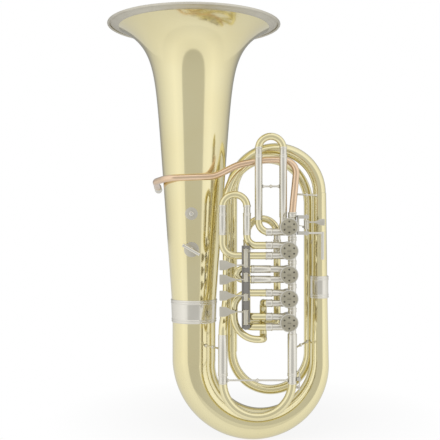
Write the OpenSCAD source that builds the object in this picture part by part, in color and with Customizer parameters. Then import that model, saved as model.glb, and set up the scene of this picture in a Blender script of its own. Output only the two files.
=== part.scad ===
// Rotary tuba with five valves, standing upright on its bottom bow, bell up.
// Origin: lowest point of the bottom bow, midway between the bell and the outer branch.
// +Z is up along the bell, +X runs from the bell to the outer branch, -Y is the valve side.

/* [Bell] */
// Diameter of the bell at its rim
bell_d = 420; // [390:1:450]
// Height of the bell rim above the lowest point of the bottom bow
bell_top = 1012; // [980:1:1060]
// Height at which the bell meets the bottom bow
bell_joint_z = 314; // [290:1:330]
// Diameter of the bell where it meets the bottom bow
bell_stem_d = 105; // [100:1:110]
// Diameter to which the straight taper of the bell would grow at the rim
bell_throat_d = 205; // [195:1:215]
// Length over which the flare at the rim dies away
flare_len = 44; // [36:1:52]
// Sheet thickness of the bell and the bows
sheet_t = 1.0; // [0.6:0.1:1.6]
// Width of the wreath band along the bell rim
wreath_w = 25; // [18:1:28]
// Thickness of the wreath band
wreath_t = 0.8; // [0.5:0.1:1.2]
// Diameter of the rolled wire at the bell rim
rim_wire_d = 6; // [4:0.5:8]

/* [Bows and branches] */
// Radius of the bottom bow along its centre line
bow_r = 153; // [150:1:156]
// Diameter of the bottom bow where it leaves the outer branch
bow_small_d = 39; // [36:1:40]
// Diameter of the bottom bow at the foot of the outer branch
bow_foot_d = 46; // [42:1:48]
// Height at which the outer branch meets the bottom bow
branch_joint_z = 371; // [350:1:390]
// Diameter of the outer branch at its top
outer_top_d = 33; // [31:1:35]
// Height at which the outer branch meets the outer top bow
top_bow_z = 600; // [590:1:610]
// Diameter of the outer top bow
top_bow_d = 31; // [28:1:32]
// Diameter of the left branch
left_d = 26; // [24:1:28]
// Distance from the bell axis to the left branch
left_gap = 93; // [92:1:96]
// Distance of the left branch behind the bell axis
left_y = 36; // [34:1:40]
// Diameter of the inner branch and the inner bottom bow
inner_d = 23; // [22:0.5:24]
// Distance from the outer branch in to the inner branch
inner_gap = 23; // [20:1:26]
// Distance of the inner branch behind the bell axis
inner_y = 32; // [31:1:36]
// Height of the inner bottom bow's ends
inner_bow_z = 208; // [204:1:215]
// Height of the inner top bow's ends
inner_top_z = 572; // [560:1:573]
// Wall of every cylindrical tube
tube_wall = 0.9; // [0.6:0.1:1.2]

/* [Leadpipe] */
// Diameter of the leadpipe
leadpipe_d = 16; // [14:0.5:16]
// Bore of the mouthpiece receiver
receiver_bore_d = 13.2; // [12:0.1:13.5]
// Depth of the receiver's bore
receiver_depth = 30; // [26:1:34]

/* [Valves] */
// Distance of the valve row in front of the bell axis
valve_y = 100; // [98:1:104]
// Distance from the outer branch in to the rotor axes
valve_gap = 84; // [82:1:88]
// Height of the top rotor
valve_top_z = 518; // [514:1:522]
// Spacing of the rotors
valve_pitch = 55; // [54.5:0.5:57]
// Outer diameter of a valve casing
casing_d = 40; // [40:0.5:42]
// Length of a valve casing
casing_len = 45; // [43:1:48]
// Wall of a valve casing
casing_wall = 2; // [1.5:0.1:2.4]
// Running clearance on the radius of rotors, pivots and slides
run_gap = 0.05; // [0.03:0.01:0.08]
// Diameter of the tubes that pass from valve to valve
line_d = 18; // [16:0.5:18]
// Diameter of the loop tubes
loop_d = 16; // [14:0.5:16]
// Diameter of a rotor spindle
spindle_d = 8; // [7:0.5:9]
// Radius at which a stop arm carries its pin
stop_arm_r = 11.5; // [11:0.1:12]

/* [Slides] */
// Diameter of the main tuning slide
main_slide_d = 20; // [18:0.5:20]
// Distance from the bell axis to the left leg of the main slide
main_left_gap = 70; // [68:1:74]
// Height of the main slide bow's ends
main_bow_z = 158; // [152:1:164]
// Gap between a slide tube and the sleeve end, for a grip
slide_show = 14; // [10:1:18]
// Height of the top of the first slide's bow
first_slide_top = 736; // [716:1:750]
// Height of the top of the second slide's bow
second_slide_top = 601; // [590:1:610]

// Distance from the rotor axes to the outer leg of the first slide
first_reach = 69; // [68:0.5:70]
// Distance from the rotor axes to the near leg of the second slide
second_near = 96; // [95:0.5:97]
// Distance from the rotor axes to the far leg of the second slide
second_far = 153; // [152:0.5:154]
// Rise of the second slide's sleeves above their valve
second_lift = 36; // [35:0.5:38]
// Distance from the rotor axes to the far side of the fourth loop
fourth_reach = 126; // [125:0.5:127]
// Height of the fourth loop
fourth_drop = 108; // [106:1:110]
// Bend of the fourth loop's lower corners
fourth_bend = 54; // [50:1:54]
// Bend of the fourth loop's upper corner, tight enough to clear the lever's crank
fourth_top_bend = 36; // [32:1:38]

/* [Levers] */
// Distance of the lever rod in front of the valve row
lever_out = 18; // [18:0.5:20]
// Distance from the rotor axes out to the lever rod
lever_reach = 99; // [97:1:101]
// Width of a finger paddle at its broad end
paddle_w = 24; // [20:1:26]
// Length of a finger paddle
paddle_len = 36; // [30:1:36]
// Length of the thumb lever's arm
thumb_arm = 18; // [16:1:20]
// Length of the thumb paddle
thumb_len = 24; // [20:1:26]
// Width of the thumb paddle at its broad end
thumb_w = 16; // [14:1:20]
// Length of the hook that the thumb rests in
hook_len = 64; // [56:1:70]
// Diameter of the arm between a lever's barrel and its paddle
lever_arm_d = 4; // [3.4:0.1:4]
// Diameter of the lever rod
rod_d = 4; // [3.5:0.1:4.4]
// Diameter of the lever barrels
barrel_d = 12.4; // [11:0.2:12.4]

/* [Hidden] */
$fn = 48;

brass = "#d8bd63";
nickel = "#b9b6ac";
rose = "#cf9368";

// Small gap that keeps a soldered seat from cutting into a round tube
seat_gap = 0.15;
// Undercut at the foot of the receiver's bore, so a shank clears the shoulder
receiver_relief = 2;
// Length of the ferrules on the bell and on the outer branch
bell_ferrule_len = 56;
branch_ferrule_len = 54;
ferrule_t = 1.2;

bell_x = -bow_r;
bow_mid_r = (bell_stem_d + bow_foot_d) / 4;
bow_z = bow_r + bow_mid_r;
left_x = bell_x + left_gap;
inner_x = bow_r - inner_gap;
valve_x = bow_r - valve_gap;
line_off = (casing_d - line_d) / 2 - 2;
line_x = valve_x + line_off;
port_off = (casing_d - loop_d) / 2;
stub_x = valve_x - 41;
valve_row = [for (k = [0:4]) valve_top_z - k * valve_pitch];
main_left_x = bell_x + main_left_gap;
main_r = (line_x - main_left_x) / 2;
sleeve_d = main_slide_d + 2 * run_gap + 2 * tube_wall;
loop_sleeve_d = loop_d + 2 * run_gap + 2 * tube_wall;
slide_branch_x = main_left_x + 10;
slide_branch_y = -55;
slide_branch_rise = 94;
slide_branch_low = main_bow_z + slide_branch_rise;
casing_back = -valve_y + casing_len / 2;
casing_front = -valve_y - casing_len / 2;
back_wall = 3;
cap_t = 4;
rod_x = valve_x - lever_reach;
rod_y = -valve_y - lever_out;
thumb_gap = 40;
thumb_x = valve_x + thumb_gap;
hook_reach = 37;
hook_x = thumb_x + hook_reach;
finger_arm = 25;
link_back = 20;
link_y = casing_back + link_back;
pin_at = stop_arm_r * sin(45);
eye_t = 2.3;

// Where each lever's paddle stands, over or under the middle of its valve
paddle_rise_1 = 11;
paddle_drop_2 = 33;
paddle_drop_3 = 11;
paddle_rise_4 = 7;
paddle_rise_5 = 25;
paddle_z = [valve_top_z + paddle_rise_1, valve_row[1] - paddle_drop_2, valve_row[2] - paddle_drop_3,
    valve_row[3] + paddle_rise_4, valve_row[4] + paddle_rise_5];

// How far the saddles reach under and over their valves, and the rods out of the saddles
saddle_under = 15;
saddle_over = 12;
thumb_under = 18;
thumb_over = 27;
rod_end = 2;

// The sheet of the bell ends inside the rim wire, and leans this far from the axis there
rim_r = bell_d / 2 - rim_wire_d;
rim_lean = atan(flare_len / (rim_r - bell_throat_d / 2));
wreath_drop = wreath_w * sin(rim_lean);

// Centre line of the leadpipe, from the receiver down to the first valve
lead_top = valve_row[0] + casing_d / 2 + 8;
lead_end = [bell_x - 92, 40, 616];
lead_path = [lead_end, [bell_x - 91, -30, 626], [bell_x - 60, -86, 632],
    [bell_x + 52, -86, 636], [bell_x + 106, -76, 664], [bell_x + 178, -74, 677],
    [line_x + 13, 10 - valve_y, 671], [line_x + 3, -valve_y, lead_top + 34],
    [line_x, -valve_y, lead_top]];

// Slides and loops of the valves, by number
first_x = valve_x - first_reach;
first_r = (valve_x - port_off - first_x) / 2;
first_bow_z = first_slide_top - loop_d / 2 - first_r;
first_sleeve_z = valve_row[0] + casing_d / 2 + 14;
second_right = valve_x - second_near;
second_left = valve_x - second_far;
second_r = (second_right - second_left) / 2;
second_bow_z = second_slide_top - loop_d / 2 - second_r;
second_sleeve_z = valve_row[1] + second_lift;
third_bow_x = rod_x - 7.5;
fourth_back_in = 16;
fourth_back = 26;
fifth_left = rod_x + 5;
fifth_right = fifth_left + 72;
fifth_y = -40;
fifth_bow_z = valve_row[0] - 17;
fifth_sleeve_z = valve_row[1] - 20;
shoulder = 6;
loop_bore = loop_d - 2 * tube_wall;

// Fittings on the bell: sideways offset, sheet, heights, and the slanted tube
plate_x = -4;
plate_t = 1.6;
plate_low_rise = 150;
plate_high_rise = 235;
plate_low = bell_joint_z + plate_low_rise;
plate_high = bell_joint_z + plate_high_rise;
socket_half = [20, 0, -11.5];
socket_out = 18;

// Stays: heights and diameters
bell_stay_z = top_bow_z - 10;
slide_stay_rise = 76;
slide_stay_z = main_bow_z + slide_stay_rise;
lead_stay_z = top_bow_z - 6;
first_stay_z = first_sleeve_z + 60;
branch_stay_z = valve_row[0] - 38;
stay_d = 5;
thin_stay_d = 4;

// Water key: pivot, and the seat that its pad closes
key_z = main_bow_z + 8;
key_x = line_x + main_slide_d / 2 + 6.5;
key_seat_z = main_bow_z - 12;
key_seat_x = key_x - 4.5;

function unit(v) = v / norm(v);
function side_of(u) = unit(cross(u, abs(u[2]) < 0.9 ? [0, 0, 1] : [1, 0, 0]));
function frame(x, y, z, o) = [[x[0], y[0], z[0], o[0]], [x[1], y[1], z[1], o[1]],
    [x[2], y[2], z[2], o[2]], [0, 0, 0, 1]];
function turn_at(p, i) = let (a = unit(p[i] - p[i - 1]), b = unit(p[i + 1] - p[i]))
    acos(max(-1, min(1, a * b)));
function trim_at(p, i, r) = i == 0 || i == len(p) - 1 ? 0 : r[i] * tan(turn_at(p, i) / 2);

// Places its children with +Z along the line from a to b
module along(a, b) {
    u = unit(b - a);
    x = side_of(u);
    multmatrix(frame(x, cross(u, x), u, a)) children();
}

// Straight bar between two points
module bar(a, b, d) {
    along(a, b) cylinder(d = d, h = norm(b - a));
}

// Straight tube between two points
module pipe(a, b, d, bore) {
    along(a, b) linear_extrude(norm(b - a)) difference() {
        circle(d = d);
        circle(d = bore);
    }
}

// One elbow at corner i of the route p, on the bend radius r
module elbow(p, i, r, d, bore) {
    a = unit(p[i] - p[i - 1]);
    b = unit(p[i + 1] - p[i]);
    turn = turn_at(p, i);
    start = p[i] - a * r * tan(turn / 2);
    toward = unit(b - a * (a * b));
    x = -toward;
    multmatrix(frame(x, a, cross(x, a), start + toward * r))
        rotate_extrude(angle = turn) translate([r, 0]) difference() {
            circle(d = d);
            circle(d = bore);
        }
}

// Tube along straight runs and elbows; r holds the bend radius at each point
module tube(p, r, d, bore) {
    for (i = [0:len(p) - 2]) {
        u = unit(p[i + 1] - p[i]);
        a = p[i] + u * trim_at(p, i, r);
        b = p[i + 1] - u * trim_at(p, i + 1, r);
        if ((b - a) * u > 0.01) pipe(a, b, d, bore);
    }
    for (i = [1:1:len(p) - 2]) elbow(p, i, r[i], d, bore);
}

// Half turn over two legs that stand at a and b, with the bow above or below them
module half_bow(a, b, up, d, bore) {
    r = norm(b - a) / 2;
    rise = [0, 0, up * r];
    tube([a, a + rise, b + rise, b], [0, r, r, 0], d, bore);
}

// Band around a vertical tube
module band(at, d, len, t) {
    translate(at) linear_extrude(len) difference() {
        circle(d = d + 2 * t);
        circle(d = d);
    }
}

// Rings of points joined into a closed shell; the last ring joins the first
module shell(rings) {
    n = len(rings);
    s = len(rings[0]);
    polyhedron([for (ring = rings) each ring],
        [for (i = [0:n - 1], j = [0:s - 1], half = [0, 1]) let (k = (i + 1) % n, m = (j + 1) % s)
            half == 0 ? [i * s + j, k * s + j, k * s + m] : [i * s + j, k * s + m, i * s + m]]);
}

// Points along a route whose corners are rounded on the bend radii r, with n steps to a corner
function corner(p, i, r, n) = let (a = unit(p[i] - p[i - 1]), b = unit(p[i + 1] - p[i]),
    turn = turn_at(p, i), t = r[i] * tan(turn / 2), toward = unit(b - a * (a * b)))
    [for (j = [0:n]) let (w = turn * j / n)
        p[i] - a * t + a * r[i] * sin(w) + toward * r[i] * (1 - cos(w))];
function route(p, r, n) = concat([p[0]], [for (i = [1:len(p) - 2]) each corner(p, i, r, n)],
    [p[len(p) - 1]]);
function heading(q, i) = let (m = len(q) - 1) unit(i == 0 ? q[1] - q[0] : i == m ? q[m] - q[m - 1] :
    unit(q[i + 1] - q[i]) + unit(q[i] - q[i - 1]));

// Tube swept along the points q; across is never in line with the route
module swept_tube(q, d, bore, across, sides) {
    function ring(i, r) = let (t = heading(q, i), x = unit(cross(t, across)), y = cross(t, x))
        [for (j = [0:sides - 1]) q[i] + r * (x * cos(360 * j / sides) + y * sin(360 * j / sides))];
    m = len(q) - 1;
    shell(concat([for (i = [0:m]) ring(i, d / 2)], [for (i = [m:-1:0]) ring(i, bore / 2)]));
}

function bell_r(z) = let (down = bell_top - z, all = bell_top - bell_joint_z,
    taper = bell_throat_d / 2 + (bell_stem_d - bell_throat_d) / 2 * down / all)
    taper + (rim_r - bell_throat_d / 2) * exp(-down / flare_len);
function bell_z(i, n) = bell_top - (bell_top - bell_joint_z) * pow(i / n, 2);

module bell() {
    n = 40;
    outer = [for (i = [0:n]) [bell_r(bell_z(i, n)), bell_z(i, n)]];
    inner = [for (i = [n:-1:0]) outer[i] - [sheet_t, 0]];
    color(brass) translate([bell_x, 0, 0]) rotate_extrude($fn = 96) polygon(concat(outer, inner));
}

module bell_wreath() {
    n = 8;
    near = [for (i = [0:n]) let (z = bell_top - wreath_drop * i / n) [bell_r(z) + 2 * seat_gap, z]];
    far = [for (i = [n:-1:0]) near[i] + [wreath_t / sin(rim_lean), 0]];
    color(nickel) translate([bell_x, 0, 0]) rotate_extrude($fn = 96) {
        polygon(concat(near, far));
        translate([rim_r + 2 * seat_gap + rim_wire_d / 2, bell_top - rim_wire_d / 2])
            circle(d = rim_wire_d, $fn = 24);
    }
}

module bell_ferrule() {
    n = 6;
    low = bell_joint_z - bell_ferrule_len / 2;
    inside = [for (i = [0:n]) let (z = low + bell_ferrule_len * i / n)
        [max(bell_r(max(z, bell_joint_z)), bell_stem_d / 2) + seat_gap, z]];
    outside = [for (i = [n:-1:0]) inside[i] + [ferrule_t, 0]];
    color(nickel) translate([bell_x, 0, 0]) rotate_extrude($fn = 96) polygon(concat(inside, outside));
}

// Centre line of the bottom bow, with its direction and its radius, at the share s of the way round
function bow_point(s) = s < 0 ? [bell_x, 0, bow_z - s * (bell_joint_z - bow_z)] :
    s > 1 ? [bow_r, 0, bow_z + (s - 1) * (branch_joint_z - bow_z)] :
    [-bow_r * cos(180 * s), 0, bow_z - bow_r * sin(180 * s)];
function bow_across(s) = s < 0 ? [1, 0, 0] : s > 1 ? [-1, 0, 0] : [cos(180 * s), 0, sin(180 * s)];
function bow_half(s) = s < 0 ? bell_stem_d / 2 :
    s > 1 ? (bow_foot_d + (bow_small_d - bow_foot_d) * (s - 1)) / 2 :
    (bell_stem_d + (bow_foot_d - bell_stem_d) * s) / 2;

module bottom_bow() {
    arcs = 26;
    sides = 36;
    steps = concat([-1], [for (i = [0:arcs]) i / arcs], [2]);
    function ring(s, off) = [for (j = [0:sides - 1]) let (a = 360 * j / sides)
        bow_point(s) + (bow_half(s) - off) * (bow_across(s) * cos(a) + [0, sin(a), 0])];
    color(brass) shell(concat([for (s = steps) ring(s, 0)],
        [for (i = [len(steps) - 1:-1:0]) ring(steps[i], sheet_t)]));
}

module bow_ferrule() {
    half = branch_ferrule_len / 2;
    foot = bow_small_d + 2 * seat_gap + 0.6;
    color(nickel) translate([bow_r, 0, branch_joint_z - half])
        band([0, 0, 0], foot + 1.4, branch_ferrule_len, ferrule_t);
}

module outer_branch() {
    h = top_bow_z - branch_joint_z;
    color(brass) translate([bow_r, 0, branch_joint_z]) difference() {
        cylinder(d1 = bow_small_d, d2 = outer_top_d, h = h);
        translate([0, 0, -0.01]) cylinder(d1 = bow_small_d - 2 * sheet_t,
            d2 = outer_top_d - 2 * sheet_t, h = h + 0.02);
    }
}

module outer_top_bow() {
    color(brass) half_bow([left_x, left_y, top_bow_z], [bow_r, 0, top_bow_z], 1, top_bow_d,
        top_bow_d - 2 * tube_wall);
}

module left_branch() {
    color(brass) pipe([left_x, left_y, inner_bow_z], [left_x, left_y, top_bow_z], left_d,
        left_d - 2 * tube_wall);
}

module inner_bottom_bow() {
    color(brass) half_bow([left_x, left_y, inner_bow_z], [inner_x, inner_y, inner_bow_z], -1,
        inner_d, inner_d - 2 * tube_wall);
}

module inner_branch() {
    color(brass) pipe([inner_x, inner_y, inner_bow_z], [inner_x, inner_y, inner_top_z], inner_d,
        inner_d - 2 * tube_wall);
}

module inner_top_bow() {
    color(brass) half_bow([slide_branch_x, slide_branch_y, inner_top_z],
        [inner_x, inner_y, inner_top_z], 1, inner_d, inner_d - 2 * tube_wall);
}

module slide_branch() {
    path = [[main_left_x, -valve_y, slide_branch_low], [main_left_x, -valve_y, slide_branch_low + 30],
        [slide_branch_x, slide_branch_y, slide_branch_low + 100],
        [slide_branch_x, slide_branch_y, inner_top_z]];
    color(brass) swept_tube(route(path, [0, 40, 40, 0], 5), main_slide_d,
        main_slide_d - 2 * tube_wall, [1, 0, 0], 32);
}

module leadpipe() {
    color(rose) swept_tube(route(lead_path, [0, 40, 40, 60, 90, 100, 32, 60, 0], 6), leadpipe_d,
        leadpipe_d - 2 * tube_wall, [1, 1, 1], 24);
}

module mouthpiece_receiver() {
    dir = unit(lead_end - lead_path[1]);
    far = lead_end + dir * (receiver_depth + receiver_relief + 8);
    color(nickel) difference() {
        bar(lead_end, far, leadpipe_d + 3);
        bar(far - dir * receiver_depth, far + dir, receiver_bore_d);
        bar(far - dir * (receiver_depth + receiver_relief), far - dir * receiver_depth,
            receiver_bore_d + 0.8);
        bar(lead_end - dir, far, leadpipe_d - 4);
    }
}

// Sleeve that a slide leg of diameter d runs in, shouldered at a, open at b
module sleeve(a, b, d, end_bore) {
    u = unit(b - a);
    outer = d + 2 * run_gap + 2 * tube_wall;
    pipe(a, a + u * shoulder, outer, end_bore);
    pipe(a + u * shoulder, b, outer, d + 2 * run_gap);
}

// Cylinder along +Y
module round_y(at, d, len) {
    translate(at) rotate([-90, 0, 0]) cylinder(d = d, h = len);
}

// Ends of the two loop ports of valve k
function port_ends(k) = k == 0 ?
    [[stub_x, -valve_y, valve_row[0] - port_off], [valve_x - port_off, -valve_y, first_sleeve_z]] :
    [for (s = [1, -1]) [stub_x, -valve_y, valve_row[k] + s * port_off]];
function port_starts(k) = k == 0 ?
    [[valve_x, -valve_y, valve_row[0] - port_off], [valve_x - port_off, -valve_y, valve_row[0]]] :
    [for (s = [1, -1]) [valve_x, -valve_y, valve_row[k] + s * port_off]];

module valve_casing(k) {
    z = valve_row[k];
    up = k == 0 ? casing_d / 2 + 8 : valve_pitch / 2;
    down = k == 4 ? casing_d / 2 + 8 : valve_pitch / 2;
    color(nickel) difference() {
        union() {
            round_y([valve_x, casing_front, z], casing_d, casing_len);
            bar([line_x, -valve_y, z - down], [line_x, -valve_y, z + up], line_d);
            for (i = [0, 1]) bar(port_starts(k)[i], port_ends(k)[i], loop_d);
        }
        round_y([valve_x, casing_front - 1, z], casing_d - 2 * casing_wall, casing_len - back_wall + 1);
        round_y([valve_x, casing_back - back_wall - 1, z], spindle_d + 2 * run_gap, back_wall + 2);
        bar([line_x, -valve_y, z - down - 1], [line_x, -valve_y, z + up + 1], line_d - 2 * tube_wall);
        for (i = [0, 1]) let (a = port_starts(k)[i], b = port_ends(k)[i])
            bar(a, b + unit(b - a), loop_bore);
    }
}

module valve_caps() {
    color(nickel) for (z = valve_row) {
        round_y([valve_x, casing_front - cap_t, z], casing_d + 2, cap_t);
        round_y([valve_x, casing_front - cap_t - 1, z], casing_d * 0.3, 2);
        round_y([valve_x, casing_front - 0.5, z], casing_d - 2 * casing_wall - 1, 1.7);
    }
}

module rotor(k) {
    z = valve_row[k];
    front = casing_front + 1.5;
    rear = casing_back - back_wall - 0.1;
    color(brass) {
        difference() {
            round_y([valve_x, front, z], casing_d - 2 * casing_wall - 2 * run_gap, rear - front);
            for (s = [-1, 1]) bar([valve_x + s * line_off, -valve_y, z - casing_d],
                [valve_x + s * line_off, -valve_y, z + casing_d], line_d - 2 * tube_wall - 0.2);
        }
        round_y([valve_x, rear - 0.5, z], spindle_d, casing_back + 8.3 - rear + 0.5);
    }
}

module stop_arm(k) {
    s = k == 0 ? 1 : -1;
    color(nickel) translate([valve_x, casing_back + 0.3, valve_row[k]]) rotate([0, s * 45, 0]) {
        difference() {
            union() {
                round_y([0, 0, 0], spindle_d + 5, 8);
                translate([-3, 4, 0]) cube([6, 4, stop_arm_r]);
            }
            round_y([0, -1, 0], spindle_d + 0.04, 10);
        }
        round_y([0, 4, stop_arm_r], 6, 4);
        round_y([0, 7, stop_arm_r], 4, 6);
    }
}

// Lever k turns on its rod; s is the side on which its paddle lies
module lever(k) {
    s = k == 0 ? 1 : -1;
    x = k == 0 ? thumb_x : rod_x;
    arm = k == 0 ? thumb_arm : finger_arm;
    long = k == 0 ? thumb_len : paddle_len;
    half = (k == 0 ? thumb_w : paddle_w) / 2;
    row = valve_row[k];
    low = min(paddle_z[k], row) - 5;
    high = max(paddle_z[k], row) + 5;
    reach = link_y - rod_y;
    color(nickel) translate([x, rod_y, 0]) {
        difference() {
            union() {
                translate([0, 0, low]) cylinder(d = barrel_d, h = high - low);
                bar([0, 0, paddle_z[k]], [s * (arm + 3), 0, paddle_z[k]], lever_arm_d);
                translate([-2.5, 0, row - 2.6]) cube([5, reach, 2.45]);
            }
            translate([0, 0, low - 1]) cylinder(d = rod_d + 2 * run_gap, h = high - low + 2);
        }
        translate([0, reach, row - 2.6]) cylinder(d = 7, h = 2.45);
        translate([0, reach, row - 1]) cylinder(d = 2.4, h = 3.6);
        translate([0, 1.25, paddle_z[k]]) rotate([90, 0, 0]) linear_extrude(2.5)
            polygon([[s * arm, -3.5], [s * (arm + long * 0.25), -half * 0.45],
                [s * (arm + long * 0.55), -half * 0.94], [s * (arm + long), -half],
                [s * (arm + long), half], [s * (arm + long * 0.55), half * 0.94],
                [s * (arm + long * 0.25), half * 0.45], [s * arm, 3.5]]);
    }
}

module link(k) {
    s = k == 0 ? 1 : -1;
    x = k == 0 ? thumb_x : rod_x;
    toward = k == 0 ? -1 : 1;
    row = valve_row[k];
    far = [valve_x + s * pin_at, link_y, row + pin_at];
    color(nickel) {
        difference() {
            union() {
                translate([x, link_y, row + 0.15]) cylinder(d = 7, h = eye_t);
                bar([x + toward * 2.6, link_y, row + 1.3], far, 2.2);
            }
            translate([x, link_y, row - 1]) cylinder(d = 2.4 + 2 * run_gap, h = 8);
        }
        round_y(far - [0, 4, 0], 8, 8);
    }
}

module lever_saddle() {
    face = -valve_y - loop_d / 2 - 2 * seat_gap;
    low = valve_row[4] - saddle_under;
    high = valve_row[1] + saddle_over;
    lugs = [[low, valve_row[4] - 6], [paddle_z[4] + 6, valve_row[3] - 6], [paddle_z[3] + 6, paddle_z[2] - 6],
        [valve_row[2] + 6, paddle_z[1] - 6], [valve_row[1] + 6, high]];
    color(nickel) difference() {
        union() {
            translate([rod_x - 9.5, face - 3, low]) cube([19, 3, high - low]);
            for (z = lugs) translate([rod_x - 5, rod_y - 5, z[0]]) cube([10, face - 1 - rod_y + 5,
                z[1] - z[0]]);
        }
        for (k = [1:4]) translate([rod_x - 4.5, face - 5, valve_row[k] - 4]) cube([13, 7, 5.5]);
        translate([rod_x, rod_y, low - 1]) cylinder(d = rod_d + 2 * run_gap, h = high - low + 2);
    }
}

module lever_rod() {
    low = valve_row[4] - saddle_under - rod_end;
    high = valve_row[1] + saddle_over + rod_end;
    color(nickel) translate([rod_x, rod_y, low]) cylinder(d = rod_d, h = high - low);
}

module thumb_saddle() {
    x = valve_x + casing_d / 2 + seat_gap;
    low = valve_row[0] - thumb_under;
    high = valve_row[0] + thumb_over;
    color(nickel) difference() {
        union() {
            translate([x, -valve_y - 12, low]) cube([4, 24, high - low]);
            for (z = [[low, low + 8], [high - 8, high]])
                translate([x, rod_y - 5, z[0]]) cube([thumb_x + 5 - x, -valve_y - 1 - rod_y, z[1] - z[0]]);
            bar([thumb_x + 4, rod_y, low + 4], [hook_x, rod_y, low + 4], 5);
            bar([hook_x, rod_y, low + 7 - hook_len], [hook_x, rod_y, low + 7], 7);
        }
        translate([thumb_x, rod_y, low - 1]) cylinder(d = rod_d + 2 * run_gap, h = high - low + 2);
    }
}

module thumb_rod() {
    low = valve_row[0] - thumb_under - rod_end;
    high = valve_row[0] + thumb_over + rod_end;
    color(nickel) translate([thumb_x, rod_y, low]) cylinder(d = rod_d, h = high - low);
}

module main_sleeves() {
    right_top = valve_row[4] - casing_d / 2 - 8;
    bore = line_d - 2 * tube_wall;
    color(nickel) {
        sleeve([line_x, -valve_y, right_top], [line_x, -valve_y, main_bow_z + slide_show],
            main_slide_d, bore);
        sleeve([main_left_x, -valve_y, slide_branch_low], [main_left_x, -valve_y, main_bow_z + slide_show],
            main_slide_d, bore);
    }
}

module main_slide() {
    left = [main_left_x, -valve_y, main_bow_z];
    right = [line_x, -valve_y, main_bow_z];
    bore = main_slide_d - 2 * tube_wall;
    color(brass) {
        half_bow(left, right, -1, main_slide_d, bore);
        pipe(left, left + [0, 0, slide_branch_low - shoulder - 4 - main_bow_z], main_slide_d, bore);
        pipe(right, right + [0, 0, valve_row[4] - casing_d / 2 - 8 - shoulder - 4 - main_bow_z],
            main_slide_d, bore);
    }
}

// Stay between two upright tubes of the radii ra and rb
module stay(a, ra, b, rb, d) {
    u = unit(b - a);
    bar(a + u * (ra + 2 * seat_gap), b - u * (rb + 2 * seat_gap), d);
}

module main_slide_stay() {
    z = main_bow_z + 4;
    mid = (main_left_x + line_x) / 2;
    color(nickel) {
        stay([main_left_x, -valve_y, z], main_slide_d / 2, [line_x, -valve_y, z], main_slide_d / 2, stay_d);
        bar([mid - 5, -valve_y, z], [mid + 5, -valve_y, z], 9);
    }
}

module first_sleeves() {
    z = valve_row[0] - port_off;
    top = first_bow_z - slide_show;
    color(nickel) {
        sleeve(port_ends(0)[1], [valve_x - port_off, -valve_y, top], loop_d, loop_bore);
        sleeve([first_x, -valve_y, first_sleeve_z], [first_x, -valve_y, top], loop_d, loop_bore);
        tube([port_ends(0)[0], [first_x, -valve_y, z], [first_x, -valve_y, first_sleeve_z]],
            [0, 24, 0], loop_d, loop_bore);
    }
}

// U-shaped slide over two upright sleeves that start at low
module upright_slide(xl, xr, y, low, bow_z) {
    half_bow([xl, y, bow_z], [xr, y, bow_z], 1, loop_d, loop_bore);
    for (x = [xl, xr]) pipe([x, y, low + shoulder + 4], [x, y, bow_z], loop_d, loop_bore);
}

module first_slide() {
    color(brass) upright_slide(first_x, valve_x - port_off, -valve_y, first_sleeve_z, first_bow_z);
}

module second_loop() {
    top = second_bow_z - slide_show;
    xs = [second_right, second_left];
    bends = [22, 30];
    color(nickel) for (i = [0, 1]) {
        tube([port_ends(1)[i], [xs[i], -valve_y, port_ends(1)[i][2]], [xs[i], -valve_y, second_sleeve_z]],
            [0, bends[i], 0], loop_d, loop_bore);
        sleeve([xs[i], -valve_y, second_sleeve_z], [xs[i], -valve_y, top], loop_d, loop_bore);
    }
}

module second_slide() {
    color(brass) upright_slide(second_left, second_right, -valve_y, second_sleeve_z, second_bow_z);
}

module third_sleeves() {
    color(nickel) for (p = port_ends(2))
        sleeve(p, [third_bow_x + slide_show + 6, p[1], p[2]], loop_d, loop_bore);
}

module third_slide() {
    p = port_ends(2);
    far = [-1, 0, 0] * port_off;
    low = [third_bow_x, -valve_y, p[0][2]];
    high = [third_bow_x, -valve_y, p[1][2]];
    color(brass) {
        tube([low, low + far, high + far, high], [0, port_off, port_off, 0], loop_d, loop_bore);
        for (e = p) pipe([third_bow_x, e[1], e[2]], e - [shoulder + 4, 0, 0], loop_d, loop_bore);
    }
}

module fourth_loop() {
    p = port_ends(3);
    ring_x = valve_x - fourth_reach;
    ring_low = p[0][2] - fourth_drop;
    back_x = stub_x - fourth_back_in;
    back_y = -valve_y + fourth_back;
    color(brass) tube([p[0], [ring_x, -valve_y, p[0][2]], [ring_x, -valve_y, ring_low],
        [back_x, -valve_y, ring_low], [back_x, back_y, ring_low], [back_x, back_y, p[1][2]],
        [back_x, -valve_y, p[1][2]], p[1]],
        [0, fourth_top_bend, fourth_bend, 12, 12, 12, 12, 0], loop_d, loop_bore);
}

module fifth_loop() {
    p = port_ends(4);
    top = fifth_bow_z - slide_show;
    color(brass) {
        tube([p[0], [fifth_left, -valve_y, p[0][2]], [fifth_left, fifth_y, p[0][2]],
            [fifth_left, fifth_y, fifth_sleeve_z]], [0, 16, 16, 0], loop_d, loop_bore);
        tube([p[1], [fifth_left, -valve_y, p[1][2]], [fifth_left, fifth_y, p[1][2]],
            [fifth_right, fifth_y, p[1][2]], [fifth_right, fifth_y, fifth_sleeve_z]],
            [0, 16, 16, 16, 0], loop_d, loop_bore);
        for (x = [fifth_left, fifth_right])
            sleeve([x, fifth_y, fifth_sleeve_z], [x, fifth_y, top], loop_d, loop_bore);
    }
}

module fifth_slide() {
    color(brass) upright_slide(fifth_left, fifth_right, fifth_y, fifth_sleeve_z, fifth_bow_z);
}

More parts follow.
